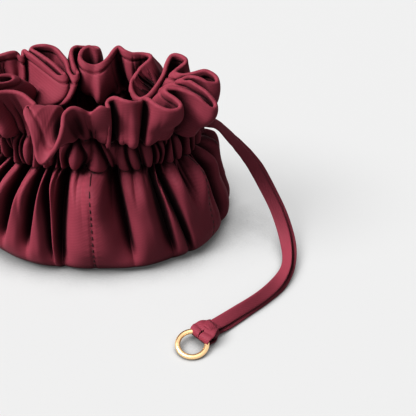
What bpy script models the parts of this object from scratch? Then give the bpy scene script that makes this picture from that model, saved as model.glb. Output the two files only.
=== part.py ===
"""Drawstring pouch (kinchaku): construction model.

Metres, +Z up. The origin is the middle of the pouch's base, on the surface it stands on.
+X points to the end where the strap leaves the channel, -Y is the pouch's front.
"""
import math

import bmesh
import bpy
from mathutils import Matrix, Vector

MM = 0.001

# ---- cloth and clearances ---------------------------------------------------------------
GAP = 0.3 * MM               # air between neighbouring pieces
OUTER_CLOTH = 0.9 * MM       # the outer satin, turned double
LINING_CLOTH = 0.7 * MM

# ---- the gathered bag -------------------------------------------------------------------
# Each level: height, half width, front depth, back depth, pleat depth, channel bulge (mm).
LEVELS = (
    (0.0, 49.0, 37.0, 36.0, 0.0, 0.0),
    (2.5, 52.0, 39.5, 39.0, 0.2, 0.0),
    (8.0, 54.0, 41.0, 41.0, 0.8, 0.0),
    (16.0, 53.4, 40.4, 40.0, 1.2, 0.0),
    (24.0, 51.5, 38.5, 37.0, 1.3, 0.0),
    (32.0, 48.5, 34.0, 30.5, 1.2, 0.0),
    (37.0, 45.8, 29.5, 22.5, 1.0, 0.0),
    (40.0, 44.0, 27.0, 18.5, 0.8, 0.0),
    (43.4, 44.0, 27.0, 18.5, 0.8, 1.9),
    (46.8, 44.0, 27.0, 18.5, 0.8, 2.6),
    (50.1, 44.0, 27.0, 18.5, 0.8, 1.9),
    (53.5, 43.5, 26.5, 18.0, 0.8, 0.0),
    (60.0, 46.0, 28.5, 18.5, 1.6, 0.0),
    (67.0, 49.0, 29.5, 19.0, 2.2, 0.0),
    (74.0, 50.5, 29.0, 18.0, 2.6, 0.0),
)
OUTWARD_SHARE = 0.3          # part of the channel's bulge that shows outside
CHANNEL_LEVEL = 9            # the level half way up the channel
SQUARENESS = 2.3             # superellipse exponent of the plan
PANELS = ("front_right", "right", "back_right", "back_left", "left", "front_left")
FIRST_SEAM = math.radians(-90)
PANEL_ANGLE = 2 * math.pi / len(PANELS)
PANEL_STEPS = 12
PLEATS = 12
SEAM_ANGLE = math.radians(0.4)   # half of the opening between two panels

# ---- base -------------------------------------------------------------------------------
BASE_THICKNESS = 1.2 * MM
LINING_FLOOR = BASE_THICKNESS + GAP

# ---- drawstring and its exit ------------------------------------------------------------
TAPE_RADIUS = 0.9 * MM
STRAND_RADIUS = 1.2 * MM
EXIT_WIDTH = 6.0 * MM
EXIT_HEIGHT = 3.2 * MM
STRAND_SPACING = 2 * STRAND_RADIUS + GAP
EXIT_BEND = 2.0 * MM

# ---- pull ring --------------------------------------------------------------------------
RING_RADIUS = 5.5 * MM       # to the middle of the wire
WIRE_RADIUS = 1.0 * MM
RING_LIFT = 0.02 * MM        # keeps the wire's facets off the surface
HITCH_POINT = Vector((43.9, -78.2, 3.2)) * MM   # middle of the wire inside the hitch
HITCH_HEADING = math.radians(44)                # from the ring towards the strap
RING_ROLL = math.radians(8)                     # lean about that heading

# ---- hitch ------------------------------------------------------------------------------
HITCH_LENGTH = 4.8 * MM      # along the wire
HITCH_BORE = 1.85 * MM       # leaves room for the ring's curve to swing
HITCH_RADIUS = 2.75 * MM
HITCH_TAIL = 5.2 * MM        # from the wire to where the strands start
TAIL_HALF_HEIGHT = 2.5 * MM

# The strap's free route from the exit to the hitch, down to the surface and along it (mm).
STRAP_ROUTE = (
    (45.9, 0.0, 46.8), (48.2, 0.5, 46.0), (50.6, 1.0, 44.0), (53.2, 1.4, 40.6),
    (55.8, 1.6, 37.2), (58.4, 1.6, 33.9), (62.3, 0.8, 29.2), (66.4, -1.4, 24.0),
    (71.0, -6.4, 17.4), (75.4, -13.6, 11.4), (78.2, -22.4, 7.0), (79.2, -31.4, 4.3),
    (78.4, -39.2, 3.1), (75.9, -46.2, 2.8), (72.2, -52.4, 2.8), (67.2, -58.2, 2.8),
    (61.2, -63.7, 2.8), (54.6, -69.2, 2.8), (50.9, -72.2, 2.9), (48.1, -74.3, 3.0),
)
STRAND_STEPS = 46


def clear_scene():
    for thing in list(bpy.data.objects):
        bpy.data.objects.remove(thing, do_unlink=True)


def finish_material(name, colour, roughness, metallic=0.0):
    material = bpy.data.materials.new(name)
    material.use_nodes = True
    shader = material.node_tree.nodes["Principled BSDF"]
    shader.inputs["Base Color"].default_value = (*colour, 1.0)
    shader.inputs["Roughness"].default_value = roughness
    shader.inputs["Metallic"].default_value = metallic
    return material


def add_object(name, data, material):
    thing = bpy.data.objects.new(name, data)
    bpy.context.scene.collection.objects.link(thing)
    data.materials.append(material)
    return thing


def mesh_from(name, points, faces, material, smooth_angle=40):
    mesh = bpy.data.meshes.new(name)
    mesh.from_pydata([tuple(p) for p in points], [], faces)
    work = bmesh.new()
    work.from_mesh(mesh)
    bmesh.ops.recalc_face_normals(work, faces=work.faces)
    work.to_mesh(mesh)
    work.free()
    mesh.shade_smooth()
    mesh.set_sharp_from_angle(angle=math.radians(smooth_angle))
    return add_object(name, mesh, material)


# ---- the bag's outline ------------------------------------------------------------------

def signed_power(value, exponent):
    return math.copysign(abs(value) ** exponent, value)


def skin_point(level, angle, inset, bulge_share):
    """A point of the skin at one level: inset is measured inwards from the outer face."""
    height, half_width, front, back, pleat, bulge = (v * MM for v in LEVELS[level])
    fold = pleat * 0.5 * (1 + math.cos(PLEATS * angle))
    shrink = inset + fold - bulge * bulge_share
    depth = (front if math.sin(angle) < 0 else back) - shrink
    width = half_width - shrink
    exponent = 2 / SQUARENESS
    x = width * signed_power(math.cos(angle), exponent)
    y = depth * signed_power(math.sin(angle), exponent)
    return Vector((x, y, height))


def outer_face(level, angle):
    return skin_point(level, angle, 0.0, OUTWARD_SHARE)


def inner_face(level, angle):
    return skin_point(level, angle, OUTER_CLOTH, OUTWARD_SHARE)


def lining_outer(level, angle):
    return skin_point(level, angle, OUTER_CLOTH + GAP, OUTWARD_SHARE - 1)


def lining_inner(level, angle):
    return skin_point(level, angle, OUTER_CLOTH + GAP + LINING_CLOTH, OUTWARD_SHARE - 1)


def grid_faces(rows, columns, offset, flip):
    faces = []
    for r in range(rows - 1):
        for c in range(columns - 1):
            a = offset + r * columns + c
            quad = (a, a + 1, a + columns + 1, a + columns)
            faces.append(quad[::-1] if flip else quad)
    return faces


def border_loop(rows, columns):
    bottom = list(range(columns))
    right = [r * columns + columns - 1 for r in range(1, rows)]
    top = [(rows - 1) * columns + c for c in range(columns - 2, -1, -1)]
    left = [r * columns for r in range(rows - 2, 0, -1)]
    return bottom + right + top + left


def body_panel(name, start, material):
    """One gore of the outer cloth, from the base up through the channel to the rim."""
    first = start + SEAM_ANGLE
    last = start + PANEL_ANGLE - SEAM_ANGLE
    angles = [first + (last - first) * i / PANEL_STEPS for i in range(PANEL_STEPS + 1)]
    rows, columns = len(LEVELS), len(angles)
    points = [outer_face(r, a) for r in range(rows) for a in angles]
    points += [inner_face(r, a) for r in range(rows) for a in angles]
    size = rows * columns
    faces = grid_faces(rows, columns, 0, False) + grid_faces(rows, columns, size, True)
    loop = border_loop(rows, columns)
    for a, b in zip(loop, loop[1:] + loop[:1]):
        faces.append((b, a, a + size, b + size))
    return mesh_from(name, points, faces, material)


def cut_exit(panel):
    """The bound slit in the right-hand gore, where both strands leave the channel."""
    channel = LEVELS[CHANNEL_LEVEL]
    bpy.ops.mesh.primitive_cube_add(size=1)
    cutter = bpy.context.active_object
    cutter.name = "exit_slit_cutter"
    size = (12 * MM, EXIT_WIDTH, EXIT_HEIGHT)
    cutter.data.transform(Matrix.Diagonal((*size, 1)))
    # The cutter stays short of the lining behind the channel.
    cutter.location = (channel[1] * MM + 5 * MM, 0, channel[0] * MM)
    cutter.hide_render = True
    cutter.display_type = "WIRE"
    cut = panel.modifiers.new("exit_slit", "BOOLEAN")
    cut.operation = "DIFFERENCE"
    cut.solver = "EXACT"
    cut.object = cutter


def ring_of_rows(rows_of_points):
    """Faces of a closed wall that runs round the bag: the rows are joined in a cycle."""
    columns = len(rows_of_points[0])
    count = len(rows_of_points)
    points = [p for row in rows_of_points for p in row]
    faces = []
    for r in range(count):
        for c in range(columns):
            a = r * columns + c
            b = r * columns + (c + 1) % columns
            up = ((r + 1) % count) * columns
            faces.append((a, b, up + (c + 1) % columns, up + c))
    return points, faces


def round_angles():
    steps = PANEL_STEPS * len(PANELS)
    return [FIRST_SEAM + 2 * math.pi * i / steps for i in range(steps)]


def lining_wall(material):
    """The lining's side, sewn to the outer cloth at the rim and at both stitch rows."""
    angles = round_angles()
    levels = range(1, len(LEVELS))
    outside = [[lining_outer(r, a) for a in angles] for r in levels]
    inside = [[lining_inner(r, a) for a in angles] for r in reversed(levels)]
    points, faces = ring_of_rows(outside + inside)
    return mesh_from("lining_wall", points, faces, material)


def slab(name, outline, low, high, material):
    """A flat piece of cloth with the given outline."""
    count = len(outline)
    points = [Vector((p.x, p.y, low)) for p in outline]
    points += [Vector((p.x, p.y, high)) for p in outline]
    faces = [tuple(reversed(range(count))), tuple(range(count, 2 * count))]
    for i in range(count):
        j = (i + 1) % count
        faces.append((i, j, j + count, i + count))
    return mesh_from(name, points, faces, material)


def bases(outer_material, lining_material):
    angles = round_angles()
    edge = OUTER_CLOTH + GAP
    outline = [skin_point(0, a, edge, 0) for a in angles]
    slab("base_panel", outline, 0.0, BASE_THICKNESS, outer_material)
    edge = OUTER_CLOTH + 2 * GAP + LINING_CLOTH
    outline = [skin_point(0, a, edge, 0) for a in angles]
    top = LINING_FLOOR + LINING_CLOTH
    slab("lining_base", outline, LINING_FLOOR, top, lining_material)


# ---- drawstring -------------------------------------------------------------------------

def tube(name, points, radius, material):
    curve = bpy.data.curves.new(name, "CURVE")
    curve.dimensions = "3D"
    curve.bevel_depth = radius
    curve.bevel_resolution = 2
    curve.use_fill_caps = True
    spline = curve.splines.new("POLY")
    spline.points.add(len(points) - 1)
    for place, point in zip(spline.points, points):
        place.co = (*point, 1.0)
    spline.use_smooth = True
    return add_object(name, curve, material)


def tunnel_point(angle):
    """Middle of the room between the outer cloth and the lining, half way up the channel."""
    inset = OUTER_CLOTH + 1.5 * GAP + TAPE_RADIUS
    return skin_point(CHANNEL_LEVEL, angle, inset, OUTWARD_SHARE)


def channel_run(material):
    """The tape's turn inside the channel: both ends bend outwards to the exit slit."""
    half = STRAND_SPACING / 2
    reach = half + EXIT_BEND
    seam = tunnel_point(0.0)
    around = [a % (2 * math.pi) for a in round_angles()]
    inside = [tunnel_point(a) for a in sorted(around)]
    kept = [p for p in inside if p.x < 0 or abs(p.y) > reach + TAPE_RADIUS]
    bend = []
    for step in range(5):
        turn = math.radians(90) * step / 4
        out = EXIT_BEND * (1 - math.sin(turn))
        bend.append(Vector((seam.x + out, half + EXIT_BEND * (1 - math.cos(turn)), seam.z)))
    mirrored = [Vector((p.x, -p.y, p.z)) for p in reversed(bend)]
    return tube("drawstring_in_channel", bend + kept + mirrored, TAPE_RADIUS, material)


def smooth_curve(route, steps):
    """Evenly spaced points on a Catmull-Rom curve through the route."""
    knots = [Vector(p) * MM for p in route]
    knots = [2 * knots[0] - knots[1]] + knots + [2 * knots[-1] - knots[-2]]
    fine = []
    for i in range(1, len(knots) - 2):
        p0, p1, p2, p3 = knots[i - 1:i + 3]
        for k in range(12):
            t = k / 12
            a = 2 * p1 + (p2 - p0) * t
            b = (2 * p0 - 5 * p1 + 4 * p2 - p3) * t * t
            c = (3 * p1 - p0 - 3 * p2 + p3) * t ** 3
            fine.append((a + b + c) / 2)
    fine.append(knots[-2])
    lengths = [0.0]
    for a, b in zip(fine, fine[1:]):
        lengths.append(lengths[-1] + (b - a).length)
    points = []
    segment = 0
    for i in range(steps + 1):
        target = lengths[-1] * i / steps
        while segment < len(fine) - 2 and lengths[segment + 1] < target:
            segment += 1
        share = (target - lengths[segment]) / (lengths[segment + 1] - lengths[segment])
        points.append(fine[segment].lerp(fine[segment + 1], share))
    return points


def strand_points(side):
    """One strand of the doubled strap: beside its twin at the exit, stacked further on."""
    centre = smooth_curve(STRAP_ROUTE, STRAND_STEPS)
    half = STRAND_SPACING / 2
    points = []
    for i, point in enumerate(centre):
        before = centre[max(i - 1, 0)]
        after = centre[min(i + 1, len(centre) - 1)]
        along = (after - before).normalized()
        across = along.cross(Vector((0, 0, 1))).normalized()
        over = across.cross(along).normalized()
        turn = math.radians(90) * min(1.0, i / (0.35 * STRAND_STEPS))
        offset = -across * math.cos(turn) + over * math.sin(turn)
        points.append(point + offset * half * side)
    return points


def strands(material):
    tube("strap_strand_upper", strand_points(1), STRAND_RADIUS, material)
    tube("strap_strand_lower", strand_points(-1), STRAND_RADIUS, material)


# ---- pull ring and hitch ----------------------------------------------------------------

def hitch_axes():
    """Unit vectors of the ring at rest: towards the strap, along the wire, ring normal."""
    heading = Vector((math.cos(HITCH_HEADING), math.sin(HITCH_HEADING), 0))
    level = Vector((-heading.y, heading.x, 0))
    # The pitch brings the lowest point of the wire down to the surface.
    drop = (HITCH_POINT.z - WIRE_RADIUS - RING_LIFT) / RING_RADIUS
    lean = math.sin(RING_ROLL) ** 2
    root = math.sqrt(drop ** 2 - lean * (drop ** 2 - lean))
    pitch = math.asin((drop - root) / lean)
    to_strap = heading * math.cos(pitch) + Vector((0, 0, 1)) * math.sin(pitch)
    roll = Matrix.Rotation(RING_ROLL, 3, to_strap)
    along_wire = roll @ level
    return to_strap, along_wire, to_strap.cross(along_wire)


def ring_frame():
    """The ring's pivot: X towards the strap, Y along the wire, Z the ring's normal."""
    x, y, z = hitch_axes()
    turn = Matrix((x, y, z)).transposed().to_4x4()
    return Matrix.Translation(HITCH_POINT) @ turn


def pull_ring(material):
    pivot = bpy.data.objects.new("ring_pivot", None)
    bpy.context.scene.collection.objects.link(pivot)
    pivot.matrix_world = ring_frame()
    bpy.ops.mesh.primitive_torus_add(
        major_radius=RING_RADIUS, minor_radius=WIRE_RADIUS, major_segments=48, minor_segments=12)
    ring = bpy.context.active_object
    ring.name = "pull_ring"
    ring.data.materials.append(material)
    ring.data.shade_smooth()
    ring.data.transform(Matrix.Translation((-RING_RADIUS, 0, 0)))
    ring.parent = pivot
    return ring


def hitch_outline():
    """Side view of the hitch: a round nose about the wire that runs into a flat tail."""
    nose = []
    for step in range(13):
        turn = math.radians(65 + 230 * step / 12)
        nose.append(Vector((HITCH_RADIUS * math.cos(turn), HITCH_RADIUS * math.sin(turn))))
    tail = [Vector((HITCH_TAIL, -TAIL_HALF_HEIGHT)), Vector((HITCH_TAIL, TAIL_HALF_HEIGHT))]
    return nose + tail


def strap_hitch(material):
    """The doubled tape's loop round the wire, with the ring's wire passing through it."""
    half = HITCH_LENGTH / 2
    outline = hitch_outline()
    count = len(outline)
    points = [Vector((p.x, side * half, p.y)) for side in (-1, 1) for p in outline]
    faces = [tuple(range(count)), tuple(reversed(range(count, 2 * count)))]
    for i in range(count):
        j = (i + 1) % count
        faces.append((i, i + count, j + count, j))
    hitch = mesh_from("strap_hitch", points, faces, material)
    heading = Matrix.Rotation(HITCH_HEADING, 4, "Z")
    hitch.matrix_world = Matrix.Translation(HITCH_POINT) @ heading
    soften = hitch.modifiers.new("soft_edges", "BEVEL")
    soften.width = 0.5 * MM
    soften.segments = 2
    soften.limit_method = "ANGLE"
    soften.angle_limit = math.radians(50)
    bore = hitch_bore()
    cut = hitch.modifiers.new("wire_bore", "BOOLEAN")
    cut.operation = "DIFFERENCE"
    cut.solver = "EXACT"
    cut.object = bore
    return hitch


def hitch_bore():
    bpy.ops.mesh.primitive_cylinder_add(vertices=24, radius=HITCH_BORE, depth=4 * HITCH_LENGTH)
    bore = bpy.context.active_object
    bore.name = "wire_bore_cutter"
    bore.data.transform(Matrix.Rotation(math.radians(90), 4, "X"))
    bore.matrix_world = ring_frame()
    bore.hide_render = True
    bore.display_type = "WIRE"
    return bore


def main():
    clear_scene()
    outer = finish_material("outer_satin", (0.24, 0.035, 0.052), 0.55)
    lining = finish_material("lining_cloth", (0.17, 0.024, 0.036), 0.65)
    tape = finish_material("strap_tape", (0.22, 0.032, 0.048), 0.55)
    gold = finish_material("pale_gold", (0.86, 0.62, 0.34), 0.18, 1.0)
    for index, place in enumerate(PANELS):
        panel = body_panel("body_panel_" + place, FIRST_SEAM + index * PANEL_ANGLE, outer)
        if place == "right":
            cut_exit(panel)
    bases(outer, lining)
    lining_wall(lining)
    channel_run(tape)
    strands(tape)
    strap_hitch(tape)
    pull_ring(gold)


main()
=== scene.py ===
"""Drawstring pouch: gathered satin cloth, flat strap, hitch and pull ring.

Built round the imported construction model. Metres, +Z up; tables are in millimetres.
"""
import math

import bmesh
import bpy
import numpy as np
from mathutils import Matrix, Vector


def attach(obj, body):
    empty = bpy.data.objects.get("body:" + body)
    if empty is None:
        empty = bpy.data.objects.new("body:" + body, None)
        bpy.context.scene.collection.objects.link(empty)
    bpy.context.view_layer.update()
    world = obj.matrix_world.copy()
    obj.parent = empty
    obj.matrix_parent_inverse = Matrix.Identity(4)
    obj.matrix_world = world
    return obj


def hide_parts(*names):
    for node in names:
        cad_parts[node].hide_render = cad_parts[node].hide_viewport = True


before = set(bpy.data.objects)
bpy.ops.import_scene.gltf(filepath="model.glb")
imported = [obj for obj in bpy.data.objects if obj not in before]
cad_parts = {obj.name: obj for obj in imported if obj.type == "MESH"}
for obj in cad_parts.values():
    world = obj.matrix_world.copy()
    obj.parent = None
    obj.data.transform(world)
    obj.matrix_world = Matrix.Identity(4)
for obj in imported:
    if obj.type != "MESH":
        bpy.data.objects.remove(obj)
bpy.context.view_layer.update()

bl_info = {
    "name": "Drawstring Pouch",
    "version": (1, 0, 0),
    "blender": (4, 5, 0),
    "location": "View3D > Sidebar > Pouch",
    "description": "Builds a gathered drawstring pouch with its strap and pull ring",
    "category": "Add Mesh",
}

MM = 0.001
SEED = 11

# ---- the bag's shape --------------------------------------------------------------------
# Body levels: height, half width, front depth, back depth (mm).
BODY_LEVELS = np.array((
    (0.0, 49.5, 37.5, 36.0), (1.5, 51.6, 39.2, 38.4), (4.0, 53.4, 40.4, 40.2),
    (8.0, 54.0, 41.0, 41.0), (16.0, 53.2, 40.4, 40.0), (24.0, 51.6, 38.9, 37.4),
    (30.0, 49.6, 36.4, 33.2), (35.0, 47.4, 33.2, 28.0), (38.0, 45.6, 30.0, 23.0),
    (40.0, 43.8, 27.2, 18.9),
))
LOWER_ROW = 40.0             # stitch rows of the channel
UPPER_ROW = 53.5
NECK = (43.5, 26.6, 18.4)    # half width, front depth, back depth at the channel
SQUARENESS = 2.3

# The rim of the ruffled heading, once round from the front: folds as the cloth falls (mm).
RIM = np.array((
    (-1, -31.5, 73), (2, -30.5, 70.5), (4, -31.5, 72.5), (6.5, -32, 74.5),
    (9, -31, 73), (9, -27.5, 71.5), (8.5, -24.5, 72), (11, -25, 74), (14.5, -28.5, 75),
    (18, -29, 74.5), (20.5, -26.5, 73), (21.5, -23, 72),
    # front puff with its open top
    (23.5, -24.5, 73), (26.5, -28.5, 73), (31, -30.5, 72), (35, -29, 71.5), (36, -26.5, 72),
    (34, -24, 73), (31, -22, 74), (30, -20, 74.5),
    # right-hand front lobe, out to its tip and back
    (34, -19.5, 74.5), (38, -21, 74), (42, -23, 73), (45, -24.5, 71), (48, -25, 69),
    (49, -22, 69.5), (46, -18.5, 72), (42, -15, 73), (38.5, -12, 73.5),
    # folds of the right-hand end
    (36, -9.5, 72), (39, -8.5, 73), (43, -10, 73), (46, -11, 72), (49.5, -9.5, 71),
    (49, -6, 72), (45, -3.5, 73), (40, -4, 72), (35.5, -4, 71.5), (33, -1, 70.5),
    # hump behind, then the long rolled loop that leans into the mouth
    (35, 2, 71), (37.5, 4, 73), (35, 7, 73.5), (31.5, 7.5, 73.5), (29.5, 4, 72),
    (28, 0, 69), (25, -3, 65), (22, -4.5, 62), (18.5, -3.5, 60), (16, -1, 61.5),
    (16, 2, 65), (19, 4.5, 69), (23, 7.5, 71.5),
    # low back rim, bright pleat, valley and curl
    (22.5, 11, 71.5), (19, 12, 71.5), (15.5, 11, 72), (12.5, 11.5, 73), (10, 14, 73.5),
    (8, 12.5, 73), (6, 9.5, 71.5), (3.5, 7, 70), (0.5, 6.5, 69), (-3, 6.5, 70),
    (-5, 9, 71.5), (-4.5, 12, 73), (-2, 14, 73.5), (0.5, 13.5, 72.5), (1.8, 15.5, 71.5),
    (0, 17.5, 71.5),
    # second tongue
    (-4.5, 17.5, 71.5), (-8, 16, 72.5), (-9.5, 13, 72), (-8.5, 8, 70.5), (-6.5, 3.5, 68),
    (-7, 1, 67), (-9, 3.5, 68), (-10.5, 8, 70), (-13, 12, 71),
    # back hump and the long tongue
    (-16, 15.5, 72), (-20, 16, 73), (-24, 15.5, 73), (-25.5, 13, 72.8), (-21, 9.5, 72),
    (-16.5, 6, 70.5), (-13, 3, 69), (-11, 0.5, 68), (-13, 0, 68), (-17, 3, 69.5),
    (-22, 7, 71.5), (-26, 10.5, 72.5),
    # dark pleat and left-hand back rim
    (-28.5, 12.5, 72.8), (-29, 9.5, 71), (-31, 10.5, 73), (-34, 9, 73.5), (-37.5, 8, 73),
    (-41, 7, 72.5), (-41, 3, 71), (-44.5, 2, 73),
    # left-hand end
    (-47, -3, 72), (-47.5, -9, 71.5), (-43, -11.5, 73), (-38, -9, 73), (-33, -5.5, 72),
    (-30, -5, 70.5), (-31, -8.5, 71), (-35, -12.5, 72.5), (-40, -15, 73), (-44, -18, 72),
    (-44, -22.5, 70.5), (-39.5, -24, 72.5),
    # front left
    (-35, -22.5, 74), (-31, -21, 74), (-27, -21, 74), (-23.5, -23, 74), (-20.5, -26, 73.5),
    (-18.5, -28.5, 73),
    # the loop that flops open over the channel
    (-21, -30, 73.5), (-21.3, -33, 72.5), (-19.2, -37.5, 69.5), (-17.8, -41.5, 65.5),
    (-17, -44, 61.5), (-15, -45.5, 59.3), (-12.5, -45, 60.5), (-10, -43.5, 63.5),
    (-8, -41, 67), (-7, -38, 70), (-6.5, -34.5, 73), (-4, -32, 74),
))
# Crest that the open loop hangs over: a place on the rim (mm), the crest beside it (mm),
# and how far the cloth there goes over the crest (0 to 1).
LOOP_CREST = np.array((
    (-18.5, -28.5, -19, -24, 72, 0.0), (-21, -30, -17.5, -25, 71.5, 0.5),
    (-21.3, -33, -16, -25.5, 71.2, 0.9), (-19.2, -37.5, -14, -26, 71, 1.0),
    (-17.8, -41.5, -12, -26.5, 70.8, 1.0), (-17, -44, -10.5, -27, 70.6, 1.0),
    (-15, -45.5, -9.5, -27, 70.5, 0.85), (-12.5, -45, -9, -27.5, 71, 0.55),
    (-10, -43.5, -8, -28, 71, 0.25), (-8, -41, -7.5, -29, 71, 0.08), (-7, -38, -7, -30, 71, 0.0),
))
HEADING_LENGTH = 22.5        # cloth from the upper stitch row to the rim
CLOTH_HALF = 0.68            # half of the turned heading's thickness

# Broad folds of the body: angle at the stitch row and at the base (degrees), depth,
# width (mm), and how low each reaches (mm above the base).
BODY_FOLDS = np.array((
    (-136, -151, 2.8, 2.6, 6), (-124, -135, 3.2, 2.8, 9), (-113, -119, 3.2, 2.4, 8),
    (-109, -105, 2.8, 2.2, 5), (-101, -102, 4.4, 2.8, 2), (-80, -75, 4.2, 2.2, 5),
    (-60, -55, 4.0, 2.0, 4), (-55, -45, 3.6, 1.9, 3), (-40, -38, 1.5, 1.6, 24),
    (-21, -13, 3.2, 2.2, 4), (-7, 0, 3.4, 2.3, 3), (8, 11, 2.8, 2.6, 6),
    (21, 23, 3.4, 2.6, 2),
    (37, 38, 2.8, 3.0, 8), (50, 46, 3.4, 2.8, 3), (69, 62, 2.8, 3.2, 8),
    (82, 84, 3.6, 2.6, 0), (99, 100, 2.6, 3.0, 9), (111, 114, 3.4, 2.8, 3),
    (131, 126, 2.8, 3.2, 7), (141, 143, 3.5, 2.6, 2), (160, 158, 2.7, 3.0, 8),
    (172, 173, 3.3, 2.6, 4), (187, 190, 2.8, 3.0, 7), (200, 197, 3.4, 2.6, 2),
    (213, 204, 2.4, 2.6, 9),
))
LOBE_DEPTH = 2.0             # how far the valley between two lobes sinks, times its depth
LOBE_BULGE = 4.2             # how far a lobe swells under the lower stitch row (mm)
CREASE_DEPTH = 1.5           # the sharp crease in each valley, times its depth
OVERLAP = 0.36               # how far a lobe slides over the valley, times its depth
FINE_GATHERS = 84
PANELS = ("front_right", "right", "back_right", "back_left", "left", "front_left")
FIRST_SEAM = -90.0
PANEL_COLUMNS = 200
BODY_ROWS = 64
CHANNEL_ROWS = 26
HEADING_ROWS = 40
RIM_ROWS = 6
HEM_WIDTH = 2.3              # cloth turned in at the rim (mm)
HEM_GROOVE = 2.8             # stitched groove of the hem, below the rim (mm)
WEAVE_RADIUS = 48 * MM       # turns an angle round the bag into a length of weave
LINING_FLOOR = 1.7           # height of the lining's middle (mm)
DRAWSTRING = (44.4, 49.2)    # lower and upper edge of the tape in the channel (mm)
BASE_HEIGHT = 0.2

# ---- the strap --------------------------------------------------------------------------
STRAP_ROUTE = (
    (45.9, 0.0, 46.8), (48.2, 0.5, 46.0), (50.6, 1.0, 44.0), (53.2, 1.4, 40.6),
    (55.8, 1.6, 37.2), (58.4, 1.6, 33.9), (62.3, 0.8, 29.2), (66.4, -1.4, 24.0),
    (71.0, -6.4, 17.4), (75.4, -13.6, 11.4), (78.2, -22.4, 7.0), (79.2, -31.4, 4.3),
    (78.4, -39.2, 3.1), (75.9, -46.2, 2.8), (72.2, -52.4, 2.8), (67.2, -58.2, 2.8),
    (61.2, -63.7, 2.8), (54.6, -69.2, 2.8), (50.9, -72.2, 2.9), (48.1, -74.3, 3.0),
)
STRAP_START = (42.4, 0.0, 47.4)      # inside the channel
STRAND_SPACING = 2.7
# How the tape rolls from flat on its way: share of its length, degrees.
STRAP_ROLL = np.array(((0, 6), (0.1, 22), (0.25, 26), (0.4, 10), (0.5, 8), (0.6, 34),
                       (0.68, 4), (0.76, -40), (0.86, -50), (0.94, -36), (1.0, -14)))
RING_ROLL = math.radians(8)          # lean about the way to the strap
RING_LIFT = 0.02                     # keeps the wire's facets off the ground
RING_RADIUS = 5.5
WIRE_RADIUS = 1.0
HITCH_POINT = (43.9, -78.2, 3.2)     # the wire inside the hitch
HITCH_HEADING = 44.0                 # degrees, from the ring towards the strap

# ---- cloth, ground, light and camera ----------------------------------------------------
RIBS = 1050.0                # twill ribs for each metre
PAINTED_FOLD_SHADE_REACH = 0.008           # how near cloth has to be for the painted fold shade to darken it (m)
FLOOR_BOUNCE = 0.16          # ground's tone for light that bounces off it
# name, strength, softness (degrees), direction the light comes from
LIGHTS = (("key", 5.0, 30, (-0.74, -0.24, 0.90)), ("top_fill", 0.5, 70, (-0.1, -0.5, 0.9)))
SKY, SKY_IN_GLOSS = 0.13, 0.85
CAMERA_AIM = (0.0459, 0.0016, 0.0)
CAMERA_REACH = 0.44
CAMERA_ELEVATION = math.radians(39)
CAMERA_LENS = 86.5


# ======================================================================== settings
def colour_setting(name, description, default):
    return bpy.props.FloatVectorProperty(
        name=name, description=description, subtype="COLOR", size=3, min=0.0, max=1.0,
        default=default)


def length_setting(name, description, default, least):
    return bpy.props.FloatProperty(
        name=name, description=description, default=default * MM, min=least * MM,
        unit="LENGTH")


class PouchColours(bpy.types.PropertyGroup):
    cloth: colour_setting("Cloth", "Colour of the satin", (0.30, 0.060, 0.088))
    shade: colour_setting("Shade", "Second colour of the uneven satin", (0.17, 0.029, 0.045))
    # The thread's near-black default is partly its own dark red and partly painted shade of the
    # stitch holes and puckers.
    thread: colour_setting("Thread", "Colour of the stitches", (0.060, 0.008, 0.013))
    gold: colour_setting("Gold", "Colour of the pull ring", (1.0, 0.72, 0.42))
    floor: colour_setting("Floor", "Colour of the ground it stands on", (0.156, 0.156, 0.156))


class PouchSizes(bpy.types.PropertyGroup):
    gather_depth: length_setting("Gather depth", "Depth of the gathers at the stitches", 3.3, 0)
    strap_width: length_setting("Strap width", "Width of the flat tape", 4.9, 1)
    strap_thickness: length_setting("Strap thickness", "Thickness of the flat tape", 1.15, 0.2)
    stitch_pitch: length_setting("Stitch pitch", "Distance from one stitch to the next", 2.9, 0.5)
    thread_radius: length_setting("Thread radius", "Radius of the sewing thread", 0.25, 0.02)


def sizes():
    return bpy.context.scene.pouch_sizes


def colours():
    return bpy.context.scene.pouch_colours


# ======================================================================== curves
def spline(knots, steps, closed):
    """Catmull-Rom points through the knots, as many steps for each span."""
    knots = np.asarray(knots, float)
    if closed:
        padded = np.vstack((knots[-1:], knots, knots[:2]))
    else:
        padded = np.vstack((2 * knots[0] - knots[1], knots, 2 * knots[-1] - knots[-2]))
    t = (np.arange(steps) / steps)[:, None]
    spans = []
    for p0, p1, p2, p3 in zip(padded, padded[1:], padded[2:], padded[3:]):
        spans.append(0.5 * (2 * p1 + (p2 - p0) * t + (2 * p0 - 5 * p1 + 4 * p2 - p3) * t ** 2
                            + (3 * p1 - p0 - 3 * p2 + p3) * t ** 3))
    points = np.vstack(spans)
    return points if closed else np.vstack((points, knots[-1:]))


def lengths_along(points):
    return np.concatenate(((0.0,), np.cumsum(np.linalg.norm(np.diff(points, axis=0), axis=1))))


def at_lengths(points, wanted):
    """Points of a polyline at the given distances from its start."""
    along = lengths_along(points)
    return np.stack([np.interp(wanted, along, points[:, i]) for i in range(points.shape[1])], 1)


def wrap_blur(values, sigma):
    """Circular Gaussian blur of a closed run of values; sigma counts samples."""
    reach = int(3 * sigma) + 1
    kernel = np.exp(-0.5 * (np.arange(-reach, reach + 1) / sigma) ** 2)
    kernel /= kernel.sum()
    padded = np.concatenate((values[-reach:], values, values[:reach]))
    return np.convolve(padded, kernel, "valid")


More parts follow.
